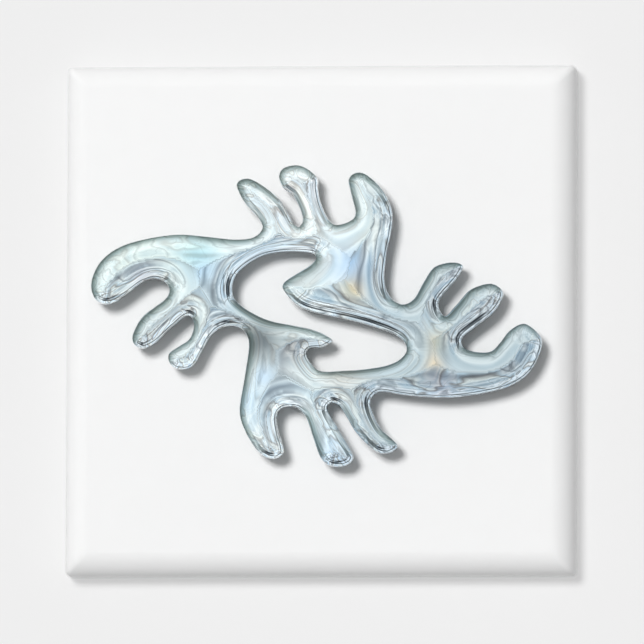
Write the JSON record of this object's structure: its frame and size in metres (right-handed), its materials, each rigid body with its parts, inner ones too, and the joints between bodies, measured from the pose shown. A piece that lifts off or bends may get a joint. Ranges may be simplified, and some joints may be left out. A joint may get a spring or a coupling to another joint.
{
  "type": "magnetic desk sculpture",
  "caption": "Flowing chrome-like cast ring with wavy fingers, held by small disc magnets a little above a square white tile that has a magnetic back.",
  "frame": {"origin": "middle of the tile's magnetic back, in the plane the tile rests on", "axes": "+Z out of the tile's face, +X to the right and +Y up as the face is looked at"},
  "size_m": [0.0508, 0.0508, 0.0089],
  "materials": {
    "clear_film": "clear satin-gloss polyester film",
    "white_paper": "plain coated white",
    "tinplate": "bright tinplate",
    "back_plastic": "moulded, fine grain",
    "glue": "pressure-sensitive film",
    "flexible_magnet": "matte ferrite-filled sheet",
    "liquid_chrome": "mirror polish with pale blue, aqua and grey swirls",
    "nickel": "nickel plate",
    "pad_rubber": "matte"
  },
  "bodies": {
    "base": {"film_cover": "clear_film", "face_sheet": "white_paper", "steel_shell": "tinplate", "back_pan": "back_plastic", "glue_film": "glue", "magnet_sheet": "flexible_magnet"},
    "sculpture": {"sculpture_casting": "liquid_chrome", "magnet_top_palm": "nickel", "magnet_bottom_palm": "nickel", "magnet_left_arm": "nickel", "magnet_right_arm": "nickel", "pad_top_palm": "pad_rubber", "pad_bottom_palm": "pad_rubber", "pad_left_arm": "pad_rubber", "pad_right_arm": "pad_rubber"}
  },
  "joints": [
    {"name": "sculpture_lift", "type": "slide", "parent": "base", "child": "sculpture", "axis": [0, 0, 1], "range_m": [0, 0.02]}
  ]
}
